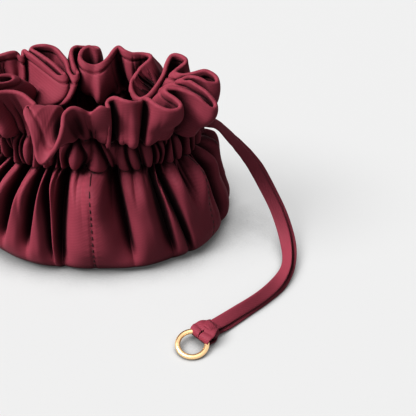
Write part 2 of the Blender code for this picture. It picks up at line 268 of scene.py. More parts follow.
def smooth_table(height, table):
    """Cubic interpolation down a table whose first column is the height."""
    x = table[:, 0]
    slopes = np.gradient(table[:, 1:], x, axis=0)
    i = np.clip(np.searchsorted(x, height) - 1, 0, len(x) - 2)
    step = x[i + 1] - x[i]
    t = ((height - x[i]) / step)[..., None]
    a, b = table[i, 1:], table[i + 1, 1:]
    ma, mb = slopes[i] * step[..., None], slopes[i + 1] * step[..., None]
    return ((2 * t ** 3 - 3 * t ** 2 + 1) * a + (t ** 3 - 2 * t ** 2 + t) * ma
            + (3 * t ** 2 - 2 * t ** 3) * b + (t ** 3 - t ** 2) * mb)


def ripple(points):
    """Slow unevenness of hand-gathered cloth: a few crossed waves (mm)."""
    rng = np.random.default_rng(SEED + 3)
    total = np.zeros(points.shape[:-1])
    for _ in range(9):
        way = unit(rng.normal(size=3) * (1, 1, 0.7))
        wave = np.sin(points @ way * 2 * np.pi / rng.uniform(14, 34) + rng.uniform(0, 6.28))
        total += 0.22 * wave
    return total


def unit(vectors):
    return vectors / np.maximum(np.linalg.norm(vectors, axis=-1, keepdims=True), 1e-9)


# ======================================================================== the cloth
def oval(angle, half_width, front, back):
    """Point of the bag's plan at an angle, with a flatter back than front."""
    power = 2 / SQUARENESS
    c, s = np.cos(angle), np.sin(angle)
    depth = np.where(s < 0, front, back)
    return np.stack((half_width * np.sign(c) * np.abs(c) ** power,
                     depth * np.sign(s) * np.abs(s) ** power), -1)


def outward(angle):
    """Horizontal normal of the neck's oval."""
    step = 0.03
    ahead, behind = oval(angle + step, *NECK), oval(angle - step, *NECK)
    tangent = unit(ahead - behind)
    return np.stack((tangent[..., 1], -tangent[..., 0]), -1)


def rim_columns():
    """The rim's points and the angle on the stitch row that each one is gathered to."""
    fine = spline(RIM, 24, True)
    loop = np.vstack((fine, fine[:1]))
    count = 3600
    total = lengths_along(loop)[-1]
    points = at_lengths(loop, np.arange(count) * total / count)
    points = np.stack([wrap_blur(points[:, i], 3.5) for i in range(3)], 1)
    spread = 9.0 / total * count
    x = wrap_blur(points[:, 0], spread) / NECK[0]
    y = wrap_blur(points[:, 1], spread)
    y = np.where(y < 0, y / NECK[1], y / NECK[2])
    power = SQUARENESS / 2
    angle = np.unwrap(np.arctan2(np.sign(y) * np.abs(y) ** power,
                                 np.sign(x) * np.abs(x) ** power))
    steps = np.diff(np.concatenate((angle, angle[:1] + 2 * np.pi)))
    steps = wrap_blur(np.maximum(steps, 0.12 * 2 * np.pi / count), 12)
    steps *= 2 * np.pi / steps.sum()
    angle = angle[0] + np.concatenate(((0.0,), np.cumsum(steps)[:-1]))
    return points, angle


class Cloth:
    """The outer cloth as rows of points from the base to the rim, for any columns."""

    def __init__(self):
        self.rim, self.rim_angle = rim_columns()
        loop = np.linalg.norm(np.diff(self.rim, axis=0), axis=1).sum()
        calm = 6.0 / loop * len(self.rim)
        self.calm = np.stack([wrap_blur(self.rim[:, i], calm) for i in range(3)], 1)
        rng = np.random.default_rng(SEED)
        jitter = rng.uniform(-0.3, 0.3, FINE_GATHERS)
        self.gather_angle = (np.arange(FINE_GATHERS) + jitter) * 2 * np.pi / FINE_GATHERS
        self.gather_depth = rng.uniform(0.6, 2.1, FINE_GATHERS) * sizes().gather_depth / MM
        self.gather_width = rng.uniform(0.45, 1.05, FINE_GATHERS)
        self.gather_slant = rng.uniform(-2.8, 2.8, FINE_GATHERS)
        self.gather_bend = rng.uniform(-1.8, 1.8, FINE_GATHERS)
        self.gather_up = rng.uniform(4.0, 13.0, FINE_GATHERS)
        self.gather_down = rng.uniform(3.0, 12.0, FINE_GATHERS)
        self.gather_down[::7] = rng.uniform(12, 22, len(self.gather_down[::7]))

    def columns(self, first, last, count):
        """Rim positions (0..1 round) whose stitch-row angles run from first to last."""
        turns = np.concatenate((self.rim_angle, self.rim_angle + 2 * np.pi,
                                self.rim_angle[:1] + 4 * np.pi))
        place = np.arange(len(turns)) / len(self.rim_angle)
        shift = 2 * np.pi * math.floor((first - self.rim_angle[0]) / (2 * np.pi))
        start = np.interp(first - shift, turns, place)
        end = np.interp(last - shift, turns, place)
        where = np.linspace(start, end, count)
        angle = np.interp(where, place, turns) + shift
        angle[0], angle[-1] = first, last
        return where, angle

    def calm_points(self, where):
        return self.rim_points(where, self.calm)

    def rim_points(self, where, rim=None):
        rim = self.rim if rim is None else rim
        closed = np.vstack((rim, rim[:1]))
        x = np.arange(len(closed)) / len(rim)
        return np.stack([np.interp(where % 1.0, x, closed[:, i]) for i in range(3)], 1)

    def gathers(self, angle, height):
        """Depth of the fine gathers: sharp valleys between soft crests."""
        radius = 32.0
        share = (height - LOWER_ROW) / (UPPER_ROW - LOWER_ROW)
        inside = np.clip(share, 0, 1)
        over = np.maximum(height - UPPER_ROW, 0)
        under = np.maximum(LOWER_ROW - height, 0)
        depth = np.zeros(np.broadcast(angle, height).shape)
        for k in range(FINE_GATHERS):
            drift = (self.gather_slant[k] * (inside - 0.5)
                     + self.gather_bend[k] * np.sin(np.pi * inside))
            away = (angle - self.gather_angle[k] + np.pi) % (2 * np.pi) - np.pi
            away = away * radius - drift
            fade = np.exp(-(over / self.gather_up[k]) ** 2 - (under / self.gather_down[k]) ** 2)
            width = self.gather_width[k] * (1 + 0.10 * over + 0.09 * under)
            depth += self.gather_depth[k] * fade * np.exp(-np.abs(away / width) ** 1.2)
        return depth

    def folds(self, angle, height):
        """Depth of the body's creases, with the cloth puffing in convex lobes between."""
        low = np.clip((LOWER_ROW - height) / LOWER_ROW, 0, 1)
        lean = BODY_FOLDS[:, 0] + (BODY_FOLDS[:, 1] - BODY_FOLDS[:, 0]) * low[..., None] ** 0.8
        lean = np.radians(lean)
        lean = np.concatenate((lean[..., -1:] - 2 * np.pi, lean, lean[..., :1] + 2 * np.pi), -1)
        deep = np.pad(BODY_FOLDS[:, 2], 1, mode="wrap")
        wide = np.pad(BODY_FOLDS[:, 3], 1, mode="wrap")
        reach = np.pad(BODY_FOLDS[:, 4], 1, mode="wrap")
        depth = np.zeros(angle.shape)
        slide = np.zeros(angle.shape)
        turned = (angle - lean[..., 1]) % (2 * np.pi) + lean[..., 1]
        swell = np.clip(low / 0.10, 0, 1) ** 0.7 * (1 - 0.5 * low ** 1.7)
        for k in range(1, len(deep) - 1):
            fade = 1 / (1 + np.exp(-(height - reach[k] - 3) / 2.4))
            for shift in (0, 2 * np.pi):
                away = turned - lean[..., k] - shift
                right = lean[..., k + 1] - lean[..., k]
                left = lean[..., k] - lean[..., k - 1]
                half = np.where(away > 0, right, left) * 0.5
                share = np.clip(np.abs(away) / half, 0, 1)
                lobe = (0.5 + 0.5 * np.cos(np.pi * share)) ** np.where(away < 0, 1.4, 2.4)
                span = away * (32 + 16 * low)
                crease = np.exp(-np.abs(span / (0.6 * wide[k])) ** 1.3)
                near = np.abs(away) <= half
                bulge = (1 - lobe) * LOBE_BULGE * np.exp(-((low - 0.13) / 0.24) ** 2)
                depth += swell * (fade * deep[k] * LOBE_DEPTH * lobe - bulge) * near
                depth += swell * fade * deep[k] * CREASE_DEPTH * crease
                slide += fade * swell * deep[k] * OVERLAP * np.exp(
                    -((span - 1.1 * wide[k]) / (0.9 * wide[k])) ** 2)
        return depth, slide

    def seam(self, angle, height):
        """Pinch along the six seams, with a pucker at every stitch."""
        depth = np.zeros(np.broadcast(angle, height).shape)
        pitch = sizes().stitch_pitch / MM
        for k in range(len(PANELS)):
            lean = math.radians(FIRST_SEAM + 60 * k)
            away = ((angle - lean + np.pi) % (2 * np.pi) - np.pi) * 45
            depth += 0.42 * np.exp(-(away / 0.45) ** 2)
            wave = 0.5 + 0.5 * np.cos(2 * np.pi * height / pitch)
            depth += 0.10 * wave * np.exp(-((np.abs(away) - 1.0) / 0.9) ** 2)
        return depth * np.clip((LOWER_ROW - 1 - height) / 4, 0, 1)

    def body(self, angle, height):
        """Body and channel: a row for each height, a column for each angle."""
        height, angle = np.meshgrid(height, angle, indexing="ij")
        sizes_here = smooth_table(np.minimum(height, LOWER_ROW), BODY_LEVELS)
        share = np.clip((height - LOWER_ROW) / (UPPER_ROW - LOWER_ROW), 0, 1)
        plan = oval(angle, sizes_here[..., 0] - 0.3 * share, sizes_here[..., 1] - 0.6 * share,
                    sizes_here[..., 2] - 0.5 * share)
        pinch = (1.9 * np.exp(-((height - LOWER_ROW) / 0.9) ** 2)
                 + 1.7 * np.exp(-((height - UPPER_ROW) / 0.9) ** 2))
        swell = 1.2 * np.sin(np.pi * share) ** 0.8
        puff = 1.2 * np.exp(-((height - 14) / 12.0) ** 2)
        depth, slide = self.folds(angle, height)
        inward = pinch - swell - puff + self.gathers(angle, height)
        inward += depth + self.seam(angle, height)
        away = outward(angle)
        along = np.stack((-away[..., 1], away[..., 0]), -1)
        plan = plan - away * inward[..., None] - along * slide[..., None]
        creep = ripple(np.concatenate((plan, height[..., None]), -1))
        creep *= np.clip((LOWER_ROW + 2 - height) / 6, 0, 1) * np.clip(height / 3, 0, 1)
        plan = plan + away * creep[..., None]
        return np.concatenate((plan, height[..., None]), -1)

    def crest(self, where):
        """The crest point beside each rim column, and how much the cloth goes over it."""
        distance = np.linalg.norm(self.rim[None, :, :2] - LOOP_CREST[:, None, :2], axis=2)
        place = distance.argmin(1) / len(self.rim)
        order = np.argsort(place)
        table = [np.interp(where % 1.0, place[order], LOOP_CREST[order, i]) for i in range(2, 6)]
        inside = (where % 1.0 > place.min()) & (where % 1.0 < place.max())
        return np.stack(table[:3], 1), np.where(inside, table[3], 0.0)[:, None]

    def heading(self, where, angle, shares):
        """Heading: each column rises from its stitch and spreads into the rim's folds."""
        foot = self.body(angle, np.array((UPPER_ROW,)))[0]
        tip = self.rim_points(where)
        wave = (tip - self.calm_points(where)) * np.array((1, 1, 0.3))
        chord = tip - foot
        span = np.linalg.norm(chord, axis=1, keepdims=True)
        spare = np.maximum(HEADING_LENGTH - span, 0)
        sag = np.sqrt(0.375 * span * spare)
        away = np.concatenate((outward(angle), np.zeros((len(angle), 1))), 1)
        lean = (chord * away).sum(1, keepdims=True)
        side = np.tanh((lean - 0.5) / 3)
        push = away * side * 0.85 + np.array((0, 0, 1.0)) * np.minimum(np.abs(lean) / 9, 1)
        push -= unit(chord) * (push * unit(chord)).sum(1, keepdims=True)
        inner = np.minimum((wave * away).sum(1, keepdims=True), 0)
        lobes = 0.5 + 0.5 * np.tanh((wave * away).sum(1, keepdims=True) / 1.2 + 0.4)
        wave = wave * 0.95 + away * inner * 2.0
        via, over = self.crest(where)
        rows = []
        for v in shares:
            spread = 1 - (1 - v) ** 1.55
            point = foot + chord * np.array((1, 1, 0)) * spread + chord * np.array((0, 0, 1)) * v
            point = point + push * sag * math.sin(math.pi * v ** 0.6)
            point = point + wave * math.sin(math.pi * v ** 0.75)
            skirt = math.exp(-((v - 0.20) / 0.15) ** 2)
            point = point + (away * 3.6 - np.array((0, 0, 1.2))) * skirt * lobes
            arch = foot * (1 - v) * (1 - 2 * v) + 4 * via * v * (1 - v) + tip * v * (2 * v - 1)
            point = point + (arch - point) * over
            height = UPPER_ROW + v * HEADING_LENGTH
            fine = self.gathers(angle, np.full_like(angle, height))
            first = self.gathers(angle, np.full_like(angle, UPPER_ROW))
            point = point - away * (fine - first * (1 - spread))[:, None]
            rows.append(point + away * (ripple(point) * math.sin(math.pi * v))[:, None])
        return np.array(rows)


def grid_normals(grid):
    across = np.gradient(grid, axis=1)
    up = np.gradient(grid, axis=0)
    return unit(np.cross(across, up))


# ======================================================================== meshes
def mesh_grid(name, grid, uv, closed=False):
    """A smooth mesh object from a grid of points in millimetres, with a weave UV map."""
    rows, columns = grid.shape[:2]
    index = np.arange(rows * columns).reshape(rows, columns)
    if closed:
        index = np.hstack((index, index[:, :1]))
    quads = np.stack((index[:-1, :-1], index[:-1, 1:], index[1:, 1:], index[1:, :-1]), -1)
    quads = quads.reshape(-1, 4)
    mesh = bpy.data.meshes.new(name)
    mesh.vertices.add(rows * columns)
    mesh.vertices.foreach_set("co", (grid.reshape(-1, 3) * MM).astype(np.float32).ravel())
    mesh.loops.add(quads.size)
    mesh.loops.foreach_set("vertex_index", quads.ravel().astype(np.int32))
    mesh.polygons.add(len(quads))
    mesh.polygons.foreach_set("loop_start", np.arange(0, quads.size, 4, dtype=np.int32))
    layer = mesh.uv_layers.new(name="weave")
    layer.data.foreach_set("uv", uv.reshape(-1, 2)[quads.ravel()].astype(np.float32).ravel())
    mesh.update(calc_edges=True)
    mesh.validate()
    mesh.shade_smooth()
    return add_object(name, mesh)


def add_object(name, data):
    thing = bpy.data.objects.new(name, data)
    bpy.context.scene.collection.objects.link(thing)
    return thing


def dress(piece, material, body="pouch"):
    piece.data.materials.clear()
    piece.data.materials.append(material)
    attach(piece, body)
    return piece


# ======================================================================== materials
def new_material(name, colour, roughness):
    material = bpy.data.materials.new(name)
    material.use_nodes = True
    shader = material.node_tree.nodes["Principled BSDF"]
    shader.inputs["Base Color"].default_value = (*colour, 1.0)
    shader.inputs["Roughness"].default_value = roughness
    return material, material.node_tree, shader


def add_node(tree, kind, **values):
    node = tree.nodes.new(kind)
    for key, value in values.items():
        if hasattr(node, key):
            setattr(node, key, value)
        else:
            node.inputs[key.replace("_", " ")].default_value = value
    return node


def remap(tree, source, low, high, start, end, kind="LINEAR"):
    """A value taken from the range low..high to the range start..end."""
    node = add_node(tree, "ShaderNodeMapRange", interpolation_type=kind, From_Min=low,
                    From_Max=high, To_Min=start, To_Max=end)
    tree.links.new(source, node.inputs["Value"])
    return node.outputs["Result"]


def maths(tree, operation, *values):
    """A maths node whose inputs are numbers or other nodes' outputs."""
    node = add_node(tree, "ShaderNodeMath", operation=operation)
    for socket, value in zip(node.inputs, values):
        if isinstance(value, bpy.types.NodeSocket):
            tree.links.new(value, socket)
        else:
            socket.default_value = value
    return node.outputs[0]


def speckle(tree, kind, **values):
    """A texture that stays with the object."""
    texture = add_node(tree, kind, **values)
    place = tree.nodes.new("ShaderNodeTexCoord")
    tree.links.new(place.outputs["Object"], texture.inputs["Vector"])
    return texture.outputs["Fac"]


def emboss(tree, shader, height, strength, distance):
    node = add_node(tree, "ShaderNodeBump", Strength=strength, Distance=distance)
    tree.links.new(height, node.inputs["Height"])
    tree.links.new(node.outputs["Normal"], shader.inputs["Normal"])


def satin_group():
    """Twill satin: fine diagonal ribs, slubs, and broad unevenness of colour and gloss."""
    if "Satin Twill" in bpy.data.node_groups:
        return bpy.data.node_groups["Satin Twill"]
    group = bpy.data.node_groups.new("Satin Twill", "ShaderNodeTree")
    for name, way, kind in (
            ("Colour", "INPUT", "Color"), ("Shade", "INPUT", "Color"),
            ("Ribs per metre", "INPUT", "Float"), ("Roughness", "INPUT", "Float"),
            ("Colour", "OUTPUT", "Color"), ("Roughness", "OUTPUT", "Float"),
            ("Height", "OUTPUT", "Float")):
        group.interface.new_socket(name=name, in_out=way, socket_type="NodeSocket" + kind)
    link = group.links.new
    inputs = group.nodes.new("NodeGroupInput")
    outputs = group.nodes.new("NodeGroupOutput")
    uv = add_node(group, "ShaderNodeUVMap", uv_map="weave")
    turn = add_node(group, "ShaderNodeVectorRotate", rotation_type="Z_AXIS",
                    Angle=math.radians(52))
    link(uv.outputs["UV"], turn.inputs["Vector"])
    split = group.nodes.new("ShaderNodeSeparateXYZ")
    link(turn.outputs["Vector"], split.inputs["Vector"])
    count = maths(group, "MULTIPLY", split.outputs["X"], inputs.outputs["Ribs per metre"])
    ribs = maths(group, "SINE", maths(group, "MULTIPLY", count, 2 * math.pi))
    slub = speckle(group, "ShaderNodeTexNoise", Scale=900.0, Detail=2.0)
    broad = speckle(group, "ShaderNodeTexNoise", Scale=55.0, Detail=3.0)
    link(maths(group, "MULTIPLY_ADD", ribs, 0.5, slub), outputs.inputs["Height"])
    uneven = remap(group, broad, 0.35, 0.75, 0.0, 0.30)
    ribbed = maths(group, "MULTIPLY_ADD", ribs, -0.09, uneven)
    ribbed.node.use_clamp = True
    mix = add_node(group, "ShaderNodeMix", data_type="RGBA")
    link(ribbed, mix.inputs["Factor"])
    link(inputs.outputs["Colour"], mix.inputs["A"])
    link(inputs.outputs["Shade"], mix.inputs["B"])
    link(mix.outputs["Result"], outputs.inputs["Colour"])
    gloss = maths(group, "MULTIPLY_ADD", slub, 0.14, inputs.outputs["Roughness"])
    link(gloss, outputs.inputs["Roughness"])
    return group


def satin(name, colour, shade, roughness=0.62, ribs=RIBS, bump=0.35):
    """Satin with painted shade: its colour darkens where cloth stands close to cloth, in folds.
    """
    if name in bpy.data.materials:
        return bpy.data.materials[name]
    material, tree, shader = new_material(name, colour, roughness)
    weave = tree.nodes.new("ShaderNodeGroup")
    weave.node_tree = satin_group()
    for key, value in (("Colour", (*colour, 1)), ("Shade", (*shade, 1)),
                       ("Ribs per metre", ribs), ("Roughness", roughness - 0.07)):
        weave.inputs[key].default_value = value
    # Painted shade in folds and creases: ambient occlusion scales the base colour down to 6 per
    # cent where cloth crowds close.
    fold = add_node(tree, "ShaderNodeAmbientOcclusion", samples=8, Distance=PAINTED_FOLD_SHADE_REACH)
    deep = remap(tree, fold.outputs["AO"], 0.32, 0.74, 0.06, 1.0)
    painted_fold_shade = add_node(tree, "ShaderNodeMix", data_type="RGBA", blend_type="MULTIPLY")
    painted_fold_shade.inputs["Factor"].default_value = 1.0
    tree.links.new(weave.outputs["Colour"], painted_fold_shade.inputs["A"])
    tree.links.new(deep, painted_fold_shade.inputs["B"])
    tree.links.new(painted_fold_shade.outputs["Result"], shader.inputs["Base Color"])
    tree.links.new(weave.outputs["Roughness"], shader.inputs["Roughness"])
    emboss(tree, shader, weave.outputs["Height"], bump, 0.00006)
    for key, value in (("Specular IOR Level", 0.12), ("Sheen Weight", 0.06),
                       ("Sheen Roughness", 0.35), ("Sheen Tint", (1.0, 0.55, 0.6, 1))):
        shader.inputs[key].default_value = value
    return material


def outer_satin():
    return satin("outer_satin_cloth", colours().cloth, colours().shade)


def strap_tape():
    cloth = [0.98 * c for c in colours().cloth]
    return satin("strap_flat_tape", cloth, colours().shade, 0.55, 1300.0, 0.5)


def lining_satin():
    cloth = [0.72 * c for c in colours().cloth]
    return satin("lining_plain_cloth", cloth, colours().shade, 0.55, 1900.0, 0.25)


def thread():
    """Sewing thread with a fine twist; its near-black colour is partly the thread's own dark red
    and partly painted shade of the stitch holes.
    """
    material, tree, shader = new_material("sewing_thread", colours().thread, 0.6)
    twist = speckle(tree, "ShaderNodeTexWave", bands_direction="DIAGONAL", Scale=700.0,
                    Distortion=2.0)
    emboss(tree, shader, twist, 0.5, 0.00005)
    return material


def pale_gold():
    """Polished plated wire with faint wear and hairline scratches."""
    material, tree, shader = new_material("pale_gold_plate", colours().gold, 0.2)
    shader.inputs["Metallic"].default_value = 1.0
    cloud = speckle(tree, "ShaderNodeTexNoise", Scale=420.0, Detail=4.0)
    hairs = speckle(tree, "ShaderNodeTexNoise", Scale=2600.0, Detail=2.0)
    tree.links.new(remap(tree, cloud, 0.3, 0.7, 0.24, 0.36), shader.inputs["Roughness"])
    emboss(tree, shader, hairs, 0.12, 0.00003)
    return material


# ======================================================================== operators
class POUCH_OT_cloth(bpy.types.Operator):
    """Build the six gores of the gathered outer cloth, from the base to the ruffled rim"""
    bl_idname = "pouch.cloth"
    bl_label = "Outer Cloth"

    def execute(self, context):
        cloth = Cloth()
        low = np.linspace(0, 1, BODY_ROWS) ** 1.12 * (LOWER_ROW - 0.5) + 0.35
        channel = np.linspace(LOWER_ROW, UPPER_ROW, CHANNEL_ROWS)
        heights = np.concatenate((low[low < LOWER_ROW - 0.3], channel))
        shares = np.linspace(0, 1, HEADING_ROWS + 1)[1:]
        for k, name in enumerate(PANELS):
            first = math.radians(FIRST_SEAM + 60 * k)
            where, angle = cloth.columns(first, first + math.pi / 3, PANEL_COLUMNS + 1)
            lower = cloth.body(angle, heights)
            upper = cloth.heading(where, angle, shares)
            middle = np.concatenate((lower, upper))
            normal = grid_normals(middle)
            fade = np.concatenate((np.zeros(len(lower)), np.ones(len(upper))))
            fade[len(lower):len(lower) + 4] = np.linspace(0.2, 0.8, 4)
            below = (1 - shares) * HEADING_LENGTH
            hem = 1 + 0.7 / (1 + np.exp((below - HEM_WIDTH) * 5)) - 0.9 * np.exp(
                -(below - HEM_GROOVE) ** 2 / 0.16)
            outer = middle + normal * (CLOTH_HALF * fade)[:, None, None]
            edge = unit(upper[-1] - upper[-2])
            turns = np.linspace(0, math.pi, RIM_ROWS + 2)[1:-1]
            half, off = CLOTH_HALF * (1 + hem[-1]) / 2, CLOTH_HALF * (1 - hem[-1]) / 2
            roll = np.array([upper[-1] + (off + half * math.cos(a)) * normal[-1]
                             + half * math.sin(a) * edge for a in turns])
            inner = upper - normal[len(lower):] * (CLOTH_HALF * hem)[:, None, None]
            grid = np.concatenate((outer, roll, inner[::-1]))
            rise = np.concatenate((heights, UPPER_ROW + shares * HEADING_LENGTH))
            rise = np.concatenate((rise, np.full(RIM_ROWS, rise[-1]), rise[len(lower):][::-1]))
            uv = np.stack(np.broadcast_arrays(angle[None, :] * WEAVE_RADIUS,
                                              rise[:, None] * MM), -1)
            piece = mesh_grid("outer_gore_" + name, grid, uv)
            dress(piece, outer_satin())
            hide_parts("body_panel_" + name)
        return {"FINISHED"}


class POUCH_OT_lining(bpy.types.Operator):
    """Build the lining inside the bag and the two round bases"""
    bl_idname = "pouch.lining"
    bl_label = "Lining and Base"

    def execute(self, context):
        cloth = Cloth()
        angle = np.linspace(0, 2 * np.pi, 541)[:-1]
        self.bag(cloth, angle)
        self.drawstring(cloth, angle)
        self.base(cloth, angle)
        return {"FINISHED"}

    def bag(self, cloth, angle):
        heights = np.concatenate((np.linspace(2.4, LOWER_ROW, 44), np.linspace(41, 53.1, 16)))
        wall = cloth.body(angle, heights)
        gap = np.interp(heights, (0, 40, 50, 53.1), (1.9, 1.7, 1.5, 0.9))
        wall[..., :2] -= outward(angle)[None] * gap[:, None, None]
        shrink = np.linspace(0, 1, 26)[1:-1, None, None]
        floor = wall[:1] * np.array((1, 1, 0)) * shrink
        floor[..., 2] = 2.2 - 0.5 * (1 - shrink[..., 0]) + 0.25 * np.sin(
            5 * angle + 3 * shrink[..., 0]) * shrink[..., 0] * (1 - shrink[..., 0])
        middle = np.zeros((1, len(angle), 3))
        middle[..., 2] = LINING_FLOOR
        grid = np.concatenate((middle, floor, wall))
        uv = np.stack((np.broadcast_to(angle * WEAVE_RADIUS, grid.shape[:2]),
                       grid[..., 2] * MM + np.linspace(0, 0.05, len(grid))[:, None]), -1)
        piece = mesh_grid("lining_cloth_bag", grid[:, ::-1], uv, closed=True)
        dress(piece, lining_satin())
        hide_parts("lining_wall", "lining_base")

    def drawstring(self, cloth, angle):
        band = cloth.body(angle, np.linspace(*DRAWSTRING, 6))
        inner = band.copy()
        band[..., :2] -= outward(angle)[None] * 0.35
        inner[..., :2] -= outward(angle)[None] * 0.95
        grid = np.concatenate((inner[::-1], band, inner[-1:]))
        uv = np.stack((np.broadcast_to(angle * 0.04, grid.shape[:2]), grid[..., 2] * MM), -1)
        piece = mesh_grid("drawstring_tape", grid, uv, closed=True)
        dress(piece, strap_tape())
        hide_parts("drawstring_in_channel")

    def base(self, cloth, angle):
        edge = cloth.body(angle, np.array((BASE_HEIGHT,)))
        shrink = np.linspace(0, 1, 14)[:, None, None]
        grid = edge * np.array((1, 1, 0)) * shrink
        grid[..., 2] = BASE_HEIGHT
        uv = grid[..., :2] * MM
        piece = mesh_grid("outer_base_round", grid, uv, closed=True)
        dress(piece, outer_satin())
        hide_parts("base_panel")


def tape_section(width, thickness, count=24):
    """Outline of a flat tubular tape: round edges, faces that dip a little at the middle."""
    turn = np.linspace(0, 2 * np.pi, count, endpoint=False)
    c, s = np.cos(turn), np.sin(turn)
    x = np.sign(c) * np.abs(c) ** 0.7 * width / 2
    y = np.sign(s) * np.abs(s) ** 0.75 * thickness / 2
    return np.stack((x, y * (0.80 + 0.20 * (2 * np.abs(x) / width) ** 2)), 1)


def sweep(name, path, wide, section, closed=False):
    """A tape along a path; wide gives its width direction at each point (mm)."""
    if closed:
        along = unit(np.roll(path, -1, 0) - np.roll(path, 1, 0))
    else:
        along = unit(np.gradient(path, axis=0))
    wide = unit(wide - along * (wide * along).sum(1, keepdims=True))
    thick = np.cross(along, wide)
    grid = (path[:, None] + wide[:, None] * section[None, :, :1]
            + thick[:, None] * section[None, :, 1:])
    far = np.arange(len(path)) * np.linalg.norm(path[1] - path[0])
    round_it = np.concatenate((section, section[:1]))
    uv = np.stack(np.broadcast_arrays(far[:, None], lengths_along(round_it)[None, :-1]), -1)
    if closed:
        grid = np.concatenate((grid, grid[:1]))
        uv = np.concatenate((uv, uv[:1]))
    piece = mesh_grid(name, grid, uv * MM, closed=True)
    if not closed:
        cap_ends(piece, len(section))
    return piece


def cap_ends(piece, count):
    """Close a tube's two ends, each with a fan about its middle."""
    work = bmesh.new()
    work.from_mesh(piece.data)
    work.verts.ensure_lookup_table()
    total = len(work.verts)
    for ring in (range(count), range(total - count, total)):
        work.verts.ensure_lookup_table()
        verts = [work.verts[i] for i in ring]
        middle = work.verts.new(sum((v.co for v in verts), Vector()) / count)
        for one, two in zip(verts, verts[1:] + verts[:1]):
            work.faces.new((one, two, middle)).smooth = True
    bmesh.ops.recalc_face_normals(work, faces=work.faces)
    work.to_mesh(piece.data)
    work.free()


def strap_frames(steps):
    """Centre line of the doubled strap and the roll of its tapes."""
    fine = spline((STRAP_START,) + STRAP_ROUTE, 12, False)
    centre = at_lengths(fine, np.linspace(0, lengths_along(fine)[-1], steps))
    along = unit(np.gradient(centre, axis=0))
    across = unit(np.cross(along, (0.0, 0.0, 1.0)))
    over = np.cross(across, along)
    share = np.linspace(0, 1, steps)
    roll = np.radians(np.interp(share, STRAP_ROLL[:, 0], STRAP_ROLL[:, 1]))
    kernel = np.ones(13) / 13
    roll = np.convolve(np.pad(roll, 6, mode="edge"), kernel, "valid")
    wide = -across * np.cos(roll)[:, None] + over * np.sin(roll)[:, None]
    return centre, wide, np.cross(along, wide), share


def ring_frame():
    """Middle and normal of the ring, which hangs in the hitch and leans on the ground."""
    turn = math.radians(HITCH_HEADING)
    heading = Vector((math.cos(turn), math.sin(turn), 0))
    drop = (HITCH_POINT[2] - WIRE_RADIUS - RING_LIFT) / RING_RADIUS
    lean = math.sin(RING_ROLL) ** 2
    root = math.sqrt(drop ** 2 - lean * (drop ** 2 - lean))
    pitch = math.asin((drop - root) / lean)
    to_strap = heading * math.cos(pitch) + Vector((0, 0, 1)) * math.sin(pitch)
    level = Matrix.Rotation(RING_ROLL, 3, to_strap) @ Vector((-heading.y, heading.x, 0))
    return Vector(HITCH_POINT) - to_strap * RING_RADIUS, to_strap.cross(level)


class POUCH_OT_ring(bpy.types.Operator):
    """Build the gold pull ring"""
    bl_idname = "pouch.ring"
    bl_label = "Pull Ring"

    def execute(self, context):
        bpy.ops.mesh.primitive_torus_add(
            major_radius=RING_RADIUS * MM, minor_radius=WIRE_RADIUS * MM,
            major_segments=144, minor_segments=36)
        ring = context.active_object
        ring.name = "gold_pull_ring"
        centre, normal = ring_frame()
        turn = normal.to_track_quat("Z", "Y").to_matrix().to_4x4()
        ring.data.transform(Matrix.Translation(centre * MM) @ turn)
        ring.matrix_world = Matrix.Identity(4)
        ring.data.shade_smooth()
        dress(ring, pale_gold(), "ring")
        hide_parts("pull_ring")
        return {"FINISHED"}


